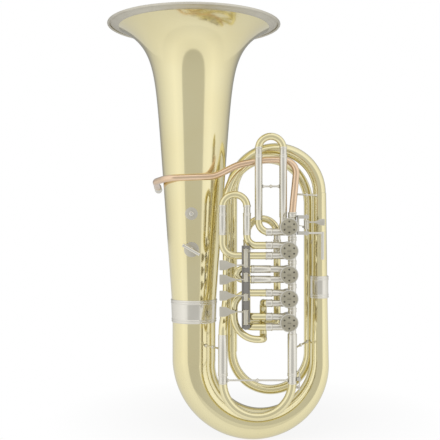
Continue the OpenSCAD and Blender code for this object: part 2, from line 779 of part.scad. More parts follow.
module stays() {
    sleeve_r = sleeve_d / 2;
    branch_r = (bow_small_d + outer_top_d) / 4 + seat_gap;
    color(nickel) {
        stay([bell_x, 0, bell_stay_z], bell_r(bell_stay_z) + 1, [left_x, left_y, bell_stay_z],
            left_d / 2, stay_d);
        stay([first_x, -valve_y, first_stay_z], loop_sleeve_d / 2,
            [valve_x - port_off, -valve_y, first_stay_z], loop_sleeve_d / 2, thin_stay_d);
        stay([bell_x, 0, slide_stay_z], bell_stem_d / 2, [main_left_x, -valve_y, slide_stay_z],
            sleeve_r, stay_d);
        stay([line_x, -valve_y, slide_stay_z], sleeve_r, [inner_x, inner_y, slide_stay_z],
            inner_d / 2, stay_d);
        stay([inner_x, inner_y, branch_stay_z], inner_d / 2, [bow_r, 0, branch_stay_z], branch_r, stay_d);
        stay([line_x + 4.5, -valve_y + 1.5, lead_stay_z], leadpipe_d / 2 + 1, [bow_r, 0, lead_stay_z],
            outer_top_d / 2, stay_d);
    }
}

// Round guard plate on the front of the bell at the height z
module guard_plate(z, d) {
    difference() {
        round_y([plate_x, -bell_r(z) - plate_t, z], d, plate_t + 6);
        translate([0, 0, z - d]) cylinder(r1 = bell_r(z - d) + seat_gap,
            r2 = bell_r(z + d) + seat_gap, h = 2 * d);
    }
}

module bell_fittings() {
    out = bell_r(plate_low);
    socket = [plate_x, -out - socket_out, plate_low];
    color(nickel) translate([bell_x, 0, 0]) {
        guard_plate(plate_low, 36);
        round_y([plate_x, -out - 14, plate_low], 7, 14 - plate_t / 2);
        pipe(socket - socket_half, socket + socket_half, 9, 5);
        guard_plate(plate_high, 30);
        round_y([plate_x, -bell_r(plate_high) - 9, plate_high], 8, 9 - plate_t / 2);
    }
}

module water_key_saddle() {
    x = line_x + main_slide_d / 2 + seat_gap;
    face = (main_left_x + line_x) / 2 + sqrt(pow(main_r + main_slide_d / 2,
        2) - pow(main_bow_z - key_seat_z, 2));
    color(nickel) {
        translate([x, -valve_y - 6.5, key_z - 4]) cube([key_x - 3.4 - x, 13, 6]);
        for (s = [-1, 1]) translate([x, -valve_y + s * 5.4 - 1.1, key_z - 4]) cube([key_x + 3 - x, 2.2, 7]);
        round_y([key_x, -valve_y - 6, key_z], 2, 12);
        translate([face + 0.5, -valve_y, key_seat_z]) rotate([0, 90, 0]) difference() {
            cylinder(d = 7, h = key_seat_x - face - 0.5);
            translate([0, 0, -1]) cylinder(d = 3, h = 10);
        }
    }
}

module water_key() {
    color(nickel) difference() {
        union() {
            translate([key_x - 1.2, -valve_y - 2.5, key_z - 27]) cube([2.4, 5, 48]);
            round_y([key_x, -valve_y - 4, key_z], 6, 8);
            translate([key_seat_x + 0.3, -valve_y, key_seat_z]) rotate([0, 90, 0]) cylinder(d = 8, h = 3.2);
        }
        round_y([key_x, -valve_y - 5, key_z], 2 + 2 * run_gap, 10);
    }
}

bell();
bell_wreath();
bell_ferrule();
bottom_bow();
bow_ferrule();
outer_branch();
outer_top_bow();
left_branch();
inner_bottom_bow();
inner_branch();
inner_top_bow();
slide_branch();
leadpipe();
mouthpiece_receiver();
for (k = [0:4]) valve_casing(k);
valve_caps();
for (k = [0:4]) rotor(k);
for (k = [0:4]) stop_arm(k);
for (k = [0:4]) lever(k);
for (k = [0:4]) link(k);
lever_saddle();
lever_rod();
thumb_saddle();
thumb_rod();
main_sleeves();
main_slide();
main_slide_stay();
first_sleeves();
first_slide();
second_loop();
second_slide();
third_sleeves();
third_slide();
fourth_loop();
fifth_loop();
fifth_slide();
stays();
bell_fittings();
water_key_saddle();
water_key();
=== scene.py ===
import math

import bpy
import bmesh
from mathutils import Matrix, Quaternion, Vector


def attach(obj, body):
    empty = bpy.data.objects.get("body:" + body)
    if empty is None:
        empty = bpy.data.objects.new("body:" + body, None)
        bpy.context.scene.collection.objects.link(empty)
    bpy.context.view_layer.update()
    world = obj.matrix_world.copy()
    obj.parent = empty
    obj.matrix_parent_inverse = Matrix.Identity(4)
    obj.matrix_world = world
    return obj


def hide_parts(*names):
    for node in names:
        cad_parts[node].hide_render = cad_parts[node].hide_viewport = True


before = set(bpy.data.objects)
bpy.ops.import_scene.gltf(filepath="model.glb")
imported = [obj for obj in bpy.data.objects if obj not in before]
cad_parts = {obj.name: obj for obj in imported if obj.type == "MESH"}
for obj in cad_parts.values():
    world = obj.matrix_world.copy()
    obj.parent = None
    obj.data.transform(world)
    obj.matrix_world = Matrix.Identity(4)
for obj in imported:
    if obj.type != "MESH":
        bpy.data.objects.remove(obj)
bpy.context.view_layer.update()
mm = 0.001  # the tuba is written in millimetres, as on the drawing; camera, stage and lamps are in metres
leastStep = 0.01  # millimetres, under which two points of a route are one
weldGap = 1e-6  # metres, under which two corners of a mesh are one
print("frame loaded:", len(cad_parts), "nodes")

# Camera: level, near half the horn's height, so that the horn fills the picture as in the photograph
cameraPlan = {"at": (-0.0896, -2.0, 0.534), "lens": 67.0, "near": 0.05}
cameraData = bpy.data.cameras.new("photoCamera")
cameraData.lens = cameraPlan["lens"]
cameraData.clip_start = cameraPlan["near"]
camera = bpy.data.objects.new("photoCamera", cameraData)
camera.location = cameraPlan["at"]
camera.rotation_euler = (math.radians(90), 0, 0)
bpy.context.scene.collection.objects.link(camera)
bpy.context.scene.camera = camera
bpy.context.scene.view_settings.view_transform = "Standard"

# Handling marks that every finish of the tuba shares: cloudy lacquer, smears, and fine polishing lines
marksPlan = {"cloudDetail": 4, "cloudRange": (0.42, 0.7), "smearScale": 38, "smearDetail": 6,
             "smearBend": 1.6, "lineStretch": (1, 1, 0.06), "lineDetail": 3, "lineHeight": 0.0002,
             "coatRoughness": 0.04}


def newNodes(tree, *kinds):
    return [tree.nodes.new("ShaderNode" + kind) for kind in kinds]


# Each link is a node and its output, then the node that takes it and the input there
def joinNodes(tree, *links):
    for source, output, target, socket in links:
        tree.links.new(source.outputs[output], target.inputs[socket])


def buildMetalMarks(plan):
    group = bpy.data.node_groups.new("metalMarks", "ShaderNodeTree")
    face = group.interface
    for name, kind, value in (("Color", "NodeSocketColor", (0.8, 0.7, 0.4, 1)),
                              ("Deep Color", "NodeSocketColor", (0.7, 0.5, 0.2, 1)),
                              ("Cloud Scale", "NodeSocketFloat", 9.0),
                              ("Cloud Amount", "NodeSocketFloat", 0.25),
                              ("Roughness", "NodeSocketFloat", 0.12),
                              ("Smear Amount", "NodeSocketFloat", 0.06),
                              ("Line Scale", "NodeSocketFloat", 900.0)):
        face.new_socket(name, in_out="INPUT", socket_type=kind).default_value = value
    for name, kind in (("Color", "NodeSocketColor"), ("Roughness", "NodeSocketFloat"),
                       ("Height", "NodeSocketFloat")):
        face.new_socket(name, in_out="OUTPUT", socket_type=kind)
    given, out = group.nodes.new("NodeGroupInput"), group.nodes.new("NodeGroupOutput")
    spot, cloud, spread, amount, tint = newNodes(group, "TexCoord", "TexNoise", "MapRange", "Math", "Mix")
    cloud.inputs["Detail"].default_value = plan["cloudDetail"]
    joinNodes(group, (spot, "Object", cloud, "Vector"), (given, "Cloud Scale", cloud, "Scale"))
    spread.inputs["From Min"].default_value, spread.inputs["From Max"].default_value = plan["cloudRange"]
    joinNodes(group, (cloud, "Fac", spread, "Value"))
    amount.operation = "MULTIPLY"
    joinNodes(group, (spread, "Result", amount, 0), (given, "Cloud Amount", amount, 1))
    tint.data_type = "RGBA"
    joinNodes(group, (amount, 0, tint, "Factor"), (given, "Color", tint, "A"),
                     (given, "Deep Color", tint, "B"), (tint, "Result", out, "Color"))
    # Smears: broad noise bent by itself, as a cloth leaves it
    smear, dull = newNodes(group, "TexNoise", "Math")
    smear.inputs["Scale"].default_value = plan["smearScale"]
    smear.inputs["Detail"].default_value = plan["smearDetail"]
    smear.inputs["Distortion"].default_value = plan["smearBend"]
    joinNodes(group, (spot, "Object", smear, "Vector"))
    dull.operation = "MULTIPLY_ADD"
    joinNodes(group, (smear, "Fac", dull, 0), (given, "Smear Amount", dull, 1),
                     (given, "Roughness", dull, 2), (dull, 0, out, "Roughness"))
    # Polishing lines: noise drawn out along the height
    stretch, lines = newNodes(group, "Mapping", "TexNoise")
    stretch.inputs["Scale"].default_value = plan["lineStretch"]
    joinNodes(group, (spot, "Object", stretch, "Vector"))
    lines.inputs["Detail"].default_value = plan["lineDetail"]
    joinNodes(group, (stretch, "Vector", lines, "Vector"), (given, "Line Scale", lines, "Scale"),
                     (lines, "Fac", out, "Height"))
    return group


metalMarks = buildMetalMarks(marksPlan)


# One finish from its plan, with a clear lacquer coat where the real piece has one
def makeFinish(name, plan):
    material = bpy.data.materials.new(name)
    material.use_nodes = True
    tree = material.node_tree
    shader = tree.nodes["Principled BSDF"]
    marks, bump = newNodes(tree, "Group", "Bump")
    marks.node_tree = metalMarks
    marks.inputs["Color"].default_value = (*plan["color"], 1)
    marks.inputs["Deep Color"].default_value = (*plan["deep"], 1)
    marks.inputs["Cloud Scale"].default_value = plan["cloudScale"]
    marks.inputs["Cloud Amount"].default_value = plan["cloud"]
    marks.inputs["Roughness"].default_value = plan["roughness"]
    marks.inputs["Smear Amount"].default_value = plan["smear"]
    marks.inputs["Line Scale"].default_value = plan["lineScale"]
    bump.inputs["Strength"].default_value = plan["lineDepth"]
    bump.inputs["Distance"].default_value = marksPlan["lineHeight"]
    joinNodes(tree, (marks, "Color", shader, "Base Color"), (marks, "Roughness", shader, "Roughness"),
                    (marks, "Height", bump, "Height"), (bump, "Normal", shader, "Normal"))
    shader.inputs["Metallic"].default_value = plan.get("metallic", 1.0)
    shader.inputs["Coat Weight"].default_value = plan.get("coat", 0.0)
    shader.inputs["Coat Roughness"].default_value = marksPlan["coatRoughness"]
    return material


finishPlans = {
    "lacqueredBrass": {"color": (0.80, 0.73, 0.45), "deep": (0.76, 0.65, 0.33), "cloudScale": 6, "cloud": 0.3,
                       "roughness": 0.09, "smear": 0.05, "lineScale": 700, "lineDepth": 0.02, "coat": 0.35},
    "roseBrass": {"color": (0.80, 0.60, 0.42), "deep": (0.68, 0.45, 0.26), "cloudScale": 14, "cloud": 0.35,
                  "roughness": 0.13, "smear": 0.06, "lineScale": 900, "lineDepth": 0.03, "coat": 0.3},
    "nickelSilver": {"color": (0.75, 0.725, 0.65), "deep": (0.65, 0.62, 0.53), "cloudScale": 16, "cloud": 0.4,
                     "roughness": 0.16, "smear": 0.08, "lineScale": 1100, "lineDepth": 0.04},
    "satinNickel": {"color": (0.66, 0.63, 0.54), "deep": (0.56, 0.53, 0.44), "cloudScale": 24, "cloud": 0.5,
                    "roughness": 0.36, "smear": 0.12, "lineScale": 1600, "lineDepth": 0.12},
    "capNickel": {"color": (0.48, 0.45, 0.35), "deep": (0.38, 0.35, 0.26), "cloudScale": 40, "cloud": 0.6,
                  "roughness": 0.4, "smear": 0.14, "lineScale": 1800, "lineDepth": 0.14},
    "hingeSteel": {"color": (0.34, 0.325, 0.30), "deep": (0.25, 0.24, 0.21), "cloudScale": 30, "cloud": 0.5,
                   "roughness": 0.3, "smear": 0.12, "lineScale": 1800, "lineDepth": 0.1},
    # pin holes and slots: near-black, painted shade standing in for the dark inside of the recesses
    "holeShadePaint": {"color": (0.05, 0.045, 0.04), "deep": (0.03, 0.03, 0.03), "cloudScale": 90, "cloud": 0.4,
                "roughness": 0.5, "smear": 0.1, "lineScale": 1800, "lineDepth": 0.05},
    "cork": {"color": (0.55, 0.37, 0.2), "deep": (0.3, 0.17, 0.08), "cloudScale": 420, "cloud": 0.9,
             "roughness": 0.8, "smear": 0.1, "lineScale": 900, "lineDepth": 0.6, "metallic": 0.0},
}
finishes = {name: makeFinish(name, plan) for name, plan in finishPlans.items()}
print("finishes:", ", ".join(finishes))


# A line of points with each corner rounded on its bend radius; steps are those of a quarter turn
def roundedRoute(corners, bends, steps=14):
    corners = [Vector(c) for c in corners]
    points = [corners[0]]
    for before, here, after, bend in zip(corners, corners[1:], corners[2:], bends):
        a, b = (here - before).normalized(), (after - here).normalized()
        turn = a.angle(b)
        inward = (b - a * a.dot(b)).normalized()
        start = here - a * bend * math.tan(turn / 2)
        count = max(3, round(steps * turn / (math.pi / 2)))
        for i in range(count + 1):
            w = turn * i / count
            points.append(start + a * bend * math.sin(w) + inward * bend * (1 - math.cos(w)))
    points.append(corners[-1])
    return [p for p, q in zip(points, [None] + points) if q is None or (p - q).length > leastStep]


# A half turn from the left end to the right one, above them (rise 1) or below (rise -1)
def halfBowRoute(left, right, rise, steps=40):
    left, right = Vector(left), Vector(right)
    mid, across = (left + right) / 2, (right - left) / 2
    up = Vector((0, 0, rise * across.length))
    return [mid - across * math.cos(math.pi * i / steps) + up * math.sin(math.pi * i / steps)
            for i in range(steps + 1)]


# A place at each point of a line, heading along it and never twisting about it
def headingFrames(points):
    frames, last, turn = [], Vector((0, 0, 1)), Quaternion()
    for i, here in enumerate(points):
        before, after = points[max(i - 1, 0)], points[min(i + 1, len(points) - 1)]
        ahead = ((after - here).normalized() + (here - before).normalized()).normalized()
        turn = last.rotation_difference(ahead) @ turn
        last = ahead
        frames.append(Matrix.Translation(here) @ turn.to_matrix().to_4x4())
    return frames


# A round bar: a circle drawn out along a line and closed at both ends; radius is one number, or one a point
def sweepTube(bm, points, radius, sides=40):
    points = [Vector(p) * mm for p in points]
    radii = [r * mm for r in (radius if hasattr(radius, "__len__") else [radius] * len(points))]
    places = [f @ Matrix.Scale(r, 4) for f, r in zip(headingFrames(points), radii)]
    verts = bmesh.ops.create_circle(bm, segments=sides, radius=1, matrix=places[0])["verts"]
    first = edges = list({e for v in verts for e in v.link_edges})
    for here, after in zip(places, places[1:]):
        made = bmesh.ops.extrude_edge_only(bm, edges=edges)["geom"]
        verts = [g for g in made if isinstance(g, bmesh.types.BMVert)]
        edges = [g for g in made if isinstance(g, bmesh.types.BMEdge)]
        bmesh.ops.transform(bm, matrix=after @ here.inverted(), verts=verts)
    for end in (first, edges):
        bmesh.ops.edgeloop_fill(bm, edges=end)


# A turned piece: the profile of (radius, height) pairs spun round an axis
def turnProfile(bm, profile, at, axis=(0, 0, 1), steps=48, closed=False):
    turn = Vector((0, 0, 1)).rotation_difference(Vector(axis))
    place = Matrix.Translation(Vector(at) * mm) @ turn.to_matrix().to_4x4()
    verts = [bm.verts.new((max(r, 0) * mm, 0, h * mm)) for r, h in profile]
    edges = [bm.edges.new(pair) for pair in zip(verts, verts[1:] + (verts[:1] if closed else []))]
    old = set(bm.verts) - set(verts)
    bmesh.ops.spin(bm, geom=verts + edges, cent=(0, 0, 0), axis=(0, 0, 1), angle=math.tau,
                   steps=steps, use_merge=True)
    made = [v for v in bm.verts if v not in old]
    bmesh.ops.remove_doubles(bm, verts=made, dist=weldGap)
    made = [v for v in bm.verts if v not in old]
    bmesh.ops.transform(bm, matrix=place, verts=made)


# The round section of a wire or a bead, as a profile to turn
def roundSection(radius, height, size, sides):
    angles = [math.tau * i / sides for i in range(sides)]
    return [(radius + size * math.cos(a), height + size * math.sin(a)) for a in angles]


# A bar with softened edges between two opposite corners
def softBlock(bm, low, high, bevel, segments=3):
    low, high = Vector(low) * mm, Vector(high) * mm
    size = high - low
    place = Matrix.Translation((low + high) / 2) @ Matrix.Diagonal((*size, 1))
    made = bmesh.ops.create_cube(bm, size=1, matrix=place)["verts"]
    edges = list({e for v in made for e in v.link_edges})
    bmesh.ops.bevel(bm, geom=edges, offset=bevel * mm, affect="EDGES", segments=segments,
                    profile=0.5, material=-1)


# Turns a bmesh into a piece on its body; edges that turn more than crease degrees stay sharp
def finishPiece(name, bm, finish, body, nodes=(), crease=38):
    bmesh.ops.recalc_face_normals(bm, faces=bm.faces)
    mesh = bpy.data.meshes.new(name)
    bm.to_mesh(mesh)
    bm.free()
    mesh.shade_smooth()
    mesh.set_sharp_from_angle(angle=math.radians(crease))
    mesh.materials.append(finishes[finish])
    piece = bpy.data.objects.new(name, mesh)
    bpy.context.scene.collection.objects.link(piece)
    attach(piece, body)
    if nodes:
        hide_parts(*nodes)


# Where the upright tubes stand, seen from above, and the heights at which they meet bows and bends
columns = {"bell": (-153, 0), "outer": (153, 0), "left": (-60, 36), "inner": (130, 32),
           "slideBranch": (-73, -55), "mainLeft": (-83, -100), "mainRight": (78, -100),
           "firstLeft": (0, -100), "firstRight": (57, -100), "secondLeft": (-84, -100),
           "secondRight": (-27, -100), "fifthLeft": (-25, -40), "fifthRight": (47, -40)}
levels = {"bellJoint": 314, "outerFoot": 371, "outerTop": 600, "innerLow": 208, "innerTop": 572,
          "mainBow": 158, "firstBow": 699.5, "secondLoop": 499, "secondBow": 564.5,
          "fifthLoop": 443, "fifthBow": 501}

# The row of valves: each has a port over its middle and one under it, which end at the stubs
valvePlan = {"x": 69, "y": -100, "top": 518, "pitch": 55, "count": 5, "portRise": 12, "stubX": 28}
valveRow = [valvePlan["top"] - k * valvePlan["pitch"] for k in range(valvePlan["count"])]


# A point on a column, at a height or at a named level
def on(column, height):
    return (*columns[column], levels.get(height, height))


# A point level with a valve's upper port (side 1) or lower port (side -1), at the stub or farther out
def atPort(valve, side, x=valvePlan["stubX"], y=valvePlan["y"]):
    return (x, y, valveRow[valve] + side * valvePlan["portRise"])


# Bell: a straight taper that opens into the flare, one sheet thick, rim wire and wreath over its edge
bellPlan = {"top": 1012, "joint": levels["bellJoint"], "stem": 52.5, "throat": 102.5, "rim": 204, "flare": 44,
            "sheet": 1.0, "rows": 64, "steps": 144}


def bellRadius(z, plan=bellPlan):
    down = plan["top"] - z
    taper = plan["throat"] + (plan["stem"] - plan["throat"]) * down / (plan["top"] - plan["joint"])
    return taper + (plan["rim"] - plan["throat"]) * math.exp(-down / plan["flare"])


def makeBell(plan):
    tall, rows = plan["top"] - plan["joint"], plan["rows"]
    heights = [plan["top"] - tall * (i / rows) ** 2 for i in range(rows + 1)]
    outside = [(bellRadius(z), z) for z in heights]
    inside = [(r - plan["sheet"], z) for r, z in reversed(outside)]
    bm = bmesh.new()
    turnProfile(bm, outside + inside, on("bell", 0), steps=plan["steps"], closed=True)
    finishPiece("bellSheet", bm, "lacqueredBrass", "horn", ["bell"])


wreathPlan = {"drop": 9.9, "rows": 16, "thick": 1.4, "swell": 2.2, "edge": 1.2, "lean": 0.2, "gap": 0.3,
              "wire": 3.0, "wireSides": 20, "beadAt": (3.2, 6.6), "bead": 0.7, "beadSides": 8}


def makeWreath(plan):
    top, rows = bellPlan["top"], plan["rows"]
    heights = [top - plan["drop"] * i / rows for i in range(rows + 1)]
    near = [(bellRadius(z) + plan["gap"], z) for z in heights]
    swells = [plan["edge"]] + [plan["swell"]] * (rows - 1) + [plan["edge"]]
    far = [(r + plan["thick"] * swell, z - plan["lean"]) for (r, z), swell in zip(near, swells)]
    rim = bellPlan["rim"] + plan["gap"] + plan["wire"]
    sections = [near + far[::-1], roundSection(rim, top - plan["wire"], plan["wire"], plan["wireSides"])]
    for drop in plan["beadAt"]:  # two fine beads pressed into the band
        band = bellRadius(top - drop) + plan["thick"] * plan["swell"]
        sections.append(roundSection(band, top - drop, plan["bead"], plan["beadSides"]))
    bm = bmesh.new()
    for section in sections:
        turnProfile(bm, section, on("bell", 0), steps=bellPlan["steps"], closed=True)
    finishPiece("bellWreath", bm, "satinNickel", "horn", ["bell_wreath"])


makeBell(bellPlan)
makeWreath(wreathPlan)

# Ferrules: a band with a double bead near each end, over the joints of the bell and of the outer branch
ferrulePlans = {
    "bellFerrule": {"at": on("bell", 286), "low": 52.65, "high": 54.7, "length": 56, "node": "bell_ferrule"},
    "bowFerrule": {"at": on("outer", 344), "low": 20.65, "high": 20.65, "length": 54, "node": "bow_ferrule"},
}
bandPlan = {"wall": 1.2, "beadAt": (3.0, 8.0), "beadRise": 1.0, "beadHalf": 1.6, "edge": 0.5,
            "rows": 112, "steps": 96, "crease": 50}


def makeFerrule(name, plan, band):
    length, lean = plan["length"], plan["high"] - plan["low"]
    beads = [middle for end in band["beadAt"] for middle in (end, length - end)]
    outside = []
    for i in range(band["rows"] + 1):
        h = length * i / band["rows"]
        bead = max(0, *(1 - ((h - middle) / band["beadHalf"]) ** 2 for middle in beads))
        edge = band["edge"] if h in (0, length) else 0
        outside.append((plan["low"] + lean * h / length + band["wall"] + band["beadRise"] * bead - edge, h))
    inside = [(plan["high"], length), (plan["low"], 0)]
    bm = bmesh.new()
    turnProfile(bm, outside + inside, plan["at"], steps=band["steps"], closed=True)
    finishPiece(name, bm, "nickelSilver", "horn", [plan["node"]], crease=band["crease"])


for name, plan in ferrulePlans.items():
    makeFerrule(name, plan, bandPlan)
print("bell and ferrules")

# Bottom bow: a tube that narrows from the bell's stem round to the foot of the outer branch
bowPlan = {"radius": columns["outer"][0], "z": 190.75, "stem": bellPlan["stem"], "foot": 23, "tip": 19.5,
           "bellTop": levels["bellJoint"], "branchTop": levels["outerFoot"],
           "legRows": 8, "steps": 72, "sides": 72}


def makeBottomBow(plan):
    points, radii = [], []
    radius, rows, steps = plan["radius"], plan["legRows"], plan["steps"]
    for i in range(rows + 1):
        points.append((-radius, 0, plan["bellTop"] + (plan["z"] - plan["bellTop"]) * i / rows))
        radii.append(plan["stem"])
    for i in range(1, steps + 1):
        a = math.pi * i / steps
        points.append((-radius * math.cos(a), 0, plan["z"] - radius * math.sin(a)))
        radii.append(plan["stem"] + (plan["foot"] - plan["stem"]) * i / steps)
    for i in range(1, rows + 1):
        points.append((radius, 0, plan["z"] + (plan["branchTop"] - plan["z"]) * i / rows))
        radii.append(plan["foot"] + (plan["tip"] - plan["foot"]) * i / rows)
    bm = bmesh.new()
    sweepTube(bm, points, radii, sides=plan["sides"])
    finishPiece("bottomBow", bm, "lacqueredBrass", "horn", ["bottom_bow"])


makeBottomBow(bowPlan)

# Branches and bows of the main tube; a bow is its two ends and which way it rises
tubeSides = 48
branchPlans = {
    "outerBranch": {"line": [on("outer", "outerFoot"), on("outer", "outerTop")],
                    "radius": [19.5, 16.5], "nodes": ["outer_branch"]},
    "outerTopBow": {"bow": [on("left", "outerTop"), on("outer", "outerTop"), 1],
                    "radius": 15.5, "nodes": ["outer_top_bow"]},
    "leftBranch": {"line": [on("left", "innerLow"), on("left", "outerTop")],
                   "radius": 13, "nodes": ["left_branch"]},
    "innerBottomBow": {"bow": [on("left", "innerLow"), on("inner", "innerLow"), -1],
                       "radius": 11.5, "nodes": ["inner_bottom_bow"]},
    "innerBranch": {"line": [on("inner", "innerLow"), on("inner", "innerTop")],
                    "radius": 11.5, "nodes": ["inner_branch"]},
    "innerTopBow": {"bow": [on("slideBranch", "innerTop"), on("inner", "innerTop"), 1],
                    "radius": 11.5, "nodes": ["inner_top_bow"]},
    "slideBranch": {"line": [on("mainLeft", 252), on("mainLeft", 282), on("slideBranch", 352),
                             on("slideBranch", "innerTop")],
                    "bends": [40, 40], "radius": 10, "nodes": ["slide_branch"]},
    "leadpipe": {"line": [(-245, 40, 616), (-244, -30, 626), (-213, -86, 632), (-101, -86, 636),
                          (-47, -76, 664), (25, -74, 677), (91, -90, 671), (81, -100, 580), (78, -100, 546)],
                 "bends": [40, 40, 60, 90, 100, 32, 60], "radius": 8, "nodes": ["leadpipe"],
                 "finish": "roseBrass"},
}


def makeTubePiece(name, plan):
    if "bow" in plan:
        points = halfBowRoute(*plan["bow"])
    else:
        points = roundedRoute(plan["line"], plan.get("bends", []))
    bm = bmesh.new()
    sweepTube(bm, points, plan["radius"], sides=tubeSides)
    for extra in plan.get("more", []):
        sweepTube(bm, roundedRoute(extra["line"], extra["bends"]), plan["radius"])
    finish, body = plan.get("finish", "lacqueredBrass"), plan.get("body", "horn")
    finishPiece(name, bm, finish, body, plan.get("nodes", ()))


for name, plan in branchPlans.items():
    makeTubePiece(name, plan)
print("bows and branches")

# Mouthpiece receiver: a turned socket with a ring at its mouth
receiverPlan = {"at": branchPlans["leadpipe"]["line"][0], "axis": (-0.01414, 0.98985, -0.14141),
                "outside": 9.5, "bore": 6.6, "foot": 6.0, "depth": 32, "length": 40, "steps": 64}


def makeReceiver(plan):
    r, n, bore, foot = plan["outside"], plan["length"], plan["bore"], plan["foot"]
    low = [(foot, 0), (r - 1.2, 0), (r - 1.0, 1.5), (r - 0.2, 2.2), (r - 0.2, 4.8), (r - 1.3, 6),
           (r - 1.5, n - 9)]
    ring = [(r - 1.2, n - 7), (r, n - 5.6), (r, n - 1.2), (r - 0.5, n - 0.3), (r - 1.2, n)]
    hole = [(bore + 0.6, n), (bore, n - 0.8), (bore, n - plan["depth"]), (foot, n - plan["depth"])]
    bm = bmesh.new()
    turnProfile(bm, low + ring + hole, plan["at"], plan["axis"], steps=plan["steps"], closed=True)
    finishPiece("mouthpieceReceiver", bm, "nickelSilver", "horn", ["mouthpiece_receiver"])


makeReceiver(receiverPlan)

# Slide sleeves: straight nickel tubes with two rings at the open end, each from its foot to that end
sleevePlans = {
    "mainSleeves": {"runs": [(on("mainRight", 270), on("mainRight", 172)),
                             (on("mainLeft", 268), on("mainLeft", 172))],
                    "radius": 10.95, "nodes": ["main_sleeves"]},
    "firstSleeves": {"runs": [(on("firstRight", 540), on("firstRight", 685.5)),
                              (on("firstLeft", 534), on("firstLeft", 685.5))],
                     "radius": 8.95, "nodes": ["first_sleeves"]},
    "secondSleeves": {"runs": [(on("secondRight", "secondLoop"), on("secondRight", 550.5)),
                               (on("secondLeft", "secondLoop"), on("secondLeft", 550.5))],
                      "radius": 8.95, "nodes": ["second_loop"]},
    "thirdSleeves": {"runs": [(atPort(2, 1), atPort(2, 1, x=-17.5)), (atPort(2, -1), atPort(2, -1, x=-17.5))],
                     "radius": 8.95, "nodes": ["third_sleeves"]},
    "fifthSleeves": {"runs": [(on("fifthLeft", "fifthLoop"), on("fifthLeft", 487)),
                              (on("fifthRight", "fifthLoop"), on("fifthRight", 487))],
                     "radius": 8.95, "nodes": ["fifth_loop"]},
}


def makeSleeves(name, plan):
    bm = bmesh.new()
    r = plan["radius"]
    for start, end in plan["runs"]:
        start, end = Vector(start), Vector(end)
        n = (end - start).length
        foot = [(r - 2, 0), (r - 0.3, 0), (r, 0.4), (r, n - 7)]
        rings = [(r + 0.5, n - 6.4), (r + 0.7, n - 5.6), (r + 0.5, n - 4.8), (r + 0.1, n - 4.2),
                 (r + 0.1, n - 3.4), (r + 0.5, n - 2.8), (r + 0.7, n - 1.8), (r + 0.6, n - 0.6), (r + 0.2, n)]
        mouth = [(r - 0.85, n), (r - 0.85, n - 12), (r - 2, n - 12)]
        turnProfile(bm, foot + rings + mouth, start, end - start, closed=True)
    finishPiece(name, bm, "nickelSilver", "horn", plan["nodes"])


for name, plan in sleevePlans.items():
    makeSleeves(name, plan)

# Bent brass tubes between the valve ports and the sleeves
loopRadius = 8.4
fourthLow = 257  # height of the fourth loop's lowest run
fourthX, fourthBackX, fourthBackY = -57, 12, -74  # its left side, and its run behind the valves
leftX, rightX, fifthY = columns["fifthLeft"][0], columns["fifthRight"][0], columns["fifthLeft"][1]
loopPlans = {
    "firstBend": {"line": [atPort(0, -1), atPort(0, -1, x=columns["firstLeft"][0]), on("firstLeft", 552)],
                  "bends": [24], "radius": loopRadius},
    "secondBends": {"line": [atPort(1, 1), atPort(1, 1, x=columns["secondRight"][0]),
                             on("secondRight", "secondLoop")],
                    "bends": [22], "radius": loopRadius,
                    "more": [{"line": [atPort(1, -1), atPort(1, -1, x=columns["secondLeft"][0]),
                                       on("secondLeft", "secondLoop")], "bends": [30]}]},
    "fourthLoop": {"line": [atPort(3, 1), atPort(3, 1, x=fourthX), (fourthX, valvePlan["y"], fourthLow),
                            (fourthBackX, valvePlan["y"], fourthLow), (fourthBackX, fourthBackY, fourthLow),
                            atPort(3, -1, x=fourthBackX, y=fourthBackY), atPort(3, -1, x=fourthBackX),
                            atPort(3, -1)],
                   "bends": [36, 54, 12, 12, 12, 12], "radius": loopRadius, "nodes": ["fourth_loop"]},
    "fifthBends": {"line": [atPort(4, 1), atPort(4, 1, x=leftX), atPort(4, 1, x=leftX, y=fifthY),
                            on("fifthLeft", "fifthLoop")],
                   "bends": [16, 16], "radius": loopRadius,
                   "more": [{"line": [atPort(4, -1), atPort(4, -1, x=leftX), atPort(4, -1, x=leftX, y=fifthY),
                                      atPort(4, -1, x=rightX, y=fifthY), on("fifthRight", "fifthLoop")],
                             "bends": [16, 16, 16]}]},
}
for name, plan in loopPlans.items():
    makeTubePiece(name, plan)

# Slides: a brass bow soldered to two nickel legs that run in the sleeves; legs are the heights of their tips
slidePlans = {
    "mainSlideBow": {"left": on("mainLeft", "mainBow"), "right": on("mainRight", "mainBow"),
                     "rise": -1, "legs": (242, 260), "radius": 10, "leg": 10,
                     "body": "main_slide", "nodes": ["main_slide"]},
    "firstSlideBow": {"left": on("firstLeft", "firstBow"), "right": on("firstRight", "firstBow"),
                      "rise": 1, "legs": (562, 562), "radius": loopRadius, "leg": 8,
                      "body": "first_slide", "nodes": ["first_slide"]},
    "secondSlideBow": {"left": on("secondLeft", "secondBow"), "right": on("secondRight", "secondBow"),
                       "rise": 1, "legs": (509, 509), "radius": loopRadius, "leg": 8,
                       "body": "second_slide", "nodes": ["second_slide"]},
    "fifthSlideBow": {"left": on("fifthLeft", "fifthBow"), "right": on("fifthRight", "fifthBow"),
                      "rise": 1, "legs": (453, 453), "radius": loopRadius, "leg": 8,
                      "body": "fifth_slide", "nodes": ["fifth_slide"]},
}


